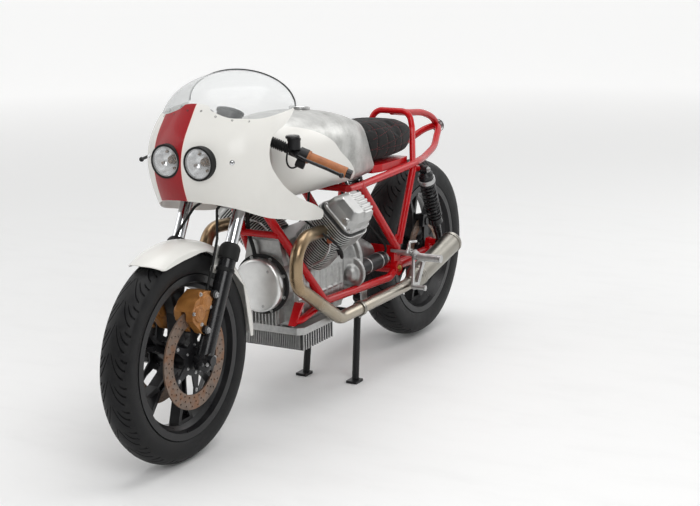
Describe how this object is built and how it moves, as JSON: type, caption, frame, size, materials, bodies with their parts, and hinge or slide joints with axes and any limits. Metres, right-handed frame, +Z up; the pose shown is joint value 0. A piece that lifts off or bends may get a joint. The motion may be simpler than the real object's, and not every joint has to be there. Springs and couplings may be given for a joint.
{
  "type": "cafe racer motorcycle",
  "caption": "Two-wheeled motorcycle with a transverse V engine, half fairing, low bars, tubular frame and open tube tail.",
  "frame": {"origin": "On the floor below the centre of the bounding box, halfway between the front edge of the front tyre and the rear edge of the rear tyre.", "axes": "+Z up, -Y to the front, +X to the rider's left."},
  "size_m": [0.7378, 2.1529, 1.111],
  "materials": {
    "polished_alloy": "bright turned aluminium",
    "cast_alloy": "bead blasted cast aluminium",
    "machined_alloy": "machined aluminium",
    "black_alloy": "satin black coated aluminium",
    "black_paint": "black painted steel",
    "red_paint": "gloss red painted steel tube",
    "white_paint": "gloss warm white paint",
    "header_steel": "stainless steel with golden heat tint",
    "stainless": "brushed stainless steel",
    "plain_steel": "plain steel",
    "hard_chrome": "hard chrome tube",
    "bronze_alloy": "bronze anodised alloy",
    "disc_iron": "drilled cast iron with brown surface rust",
    "black_wheel": "satin black cast wheel",
    "tyre": "road tyre rubber",
    "bare_tank": "hand brushed bare aluminium",
    "tan_leather": "tan stitched leather",
    "black_rubber": "moulded rubber",
    "lamp_glass": "clear lamp glass over a bright reflector",
    "black_plastic": "black moulding",
    "seat_fabric": "black suede cloth with red stitching",
    "black_spring": "black coated coil spring",
    "clear_screen": "clear acrylic"
  },
  "bodies": {
    "chassis": {"alternator_cover": "polished_alloy", "carburettors": "cast_alloy", "crankcase": "cast_alloy", "cylinder_heads": "cast_alloy", "cylinders": "cast_alloy", "exhaust_headers": "header_steel", "fairing": "white_paint", "fairing_stay": "black_paint", "final_drive": "cast_alloy", "frame_cradle_left": "red_paint", "frame_cradle_right": "red_paint", "frame_cross_members": "red_paint", "frame_spine": "red_paint", "fuel_cap": "polished_alloy", "fuel_tank": "bare_tank", "gearbox": "cast_alloy", "headlamp_rims": "black_rubber", "headlamps": "lamp_glass", "instruments": "black_plastic", "mufflers": "stainless", "rear_axle": "plain_steel", "rear_caliper": "bronze_alloy", "rearsets": "machined_alloy", "rocker_covers": "cast_alloy", "seat_pad": "seat_fabric", "seat_rails": "red_paint", "seat_tray": "red_paint", "shock_bodies": "machined_alloy", "shock_mounts": "machined_alloy", "shock_springs": "black_spring", "stand_pivots": "plain_steel", "starter_motor": "black_plastic", "sump": "cast_alloy", "swingarm": "red_paint", "tail_hoop": "red_paint", "tail_lamp": "black_plastic", "timing_cover": "cast_alloy", "windscreen": "clear_screen"},
    "fork_assembly": {"bar_ends": "black_alloy", "brake_hoses": "black_rubber", "clip_ons": "black_alloy", "fluid_reservoirs": "black_plastic", "fork_sliders": "black_alloy", "fork_tubes": "hard_chrome", "front_axle": "plain_steel", "front_calipers": "bronze_alloy", "front_fender": "white_paint", "grips": "tan_leather", "levers": "black_alloy", "lower_yoke": "black_alloy", "switch_housings": "black_plastic", "upper_yoke": "black_alloy"},
    "front_wheel": {"front_tyre": "tyre", "front_rim": "black_wheel", "front_discs": "disc_iron"},
    "rear_wheel": {"rear_tyre": "tyre", "rear_rim": "black_wheel", "rear_disc": "disc_iron"},
    "stand": {"centre_stand": "black_paint"}
  },
  "joints": [
    {"name": "steering_head", "type": "hinge", "parent": "chassis", "child": "fork_assembly", "pos_m": [0, -0.4465, 0.7982], "axis": [0, 0.4617, 0.887], "range_deg": [-24, 24]},
    {"name": "front_wheel_spin", "type": "hinge", "parent": "fork_assembly", "child": "front_wheel", "pos_m": [0, -0.75848, 0.318], "axis": [1, 0, 0], "continuous": true},
    {"name": "rear_wheel_spin", "type": "hinge", "parent": "chassis", "child": "rear_wheel", "pos_m": [0, 0.7465, 0.338], "axis": [1, 0, 0], "continuous": true},
    {"name": "centre_stand_pivot", "type": "hinge", "parent": "chassis", "child": "stand", "pos_m": [0, 0.165, 0.288], "axis": [1, 0, 0], "range_deg": [0, 98]}
  ]
}
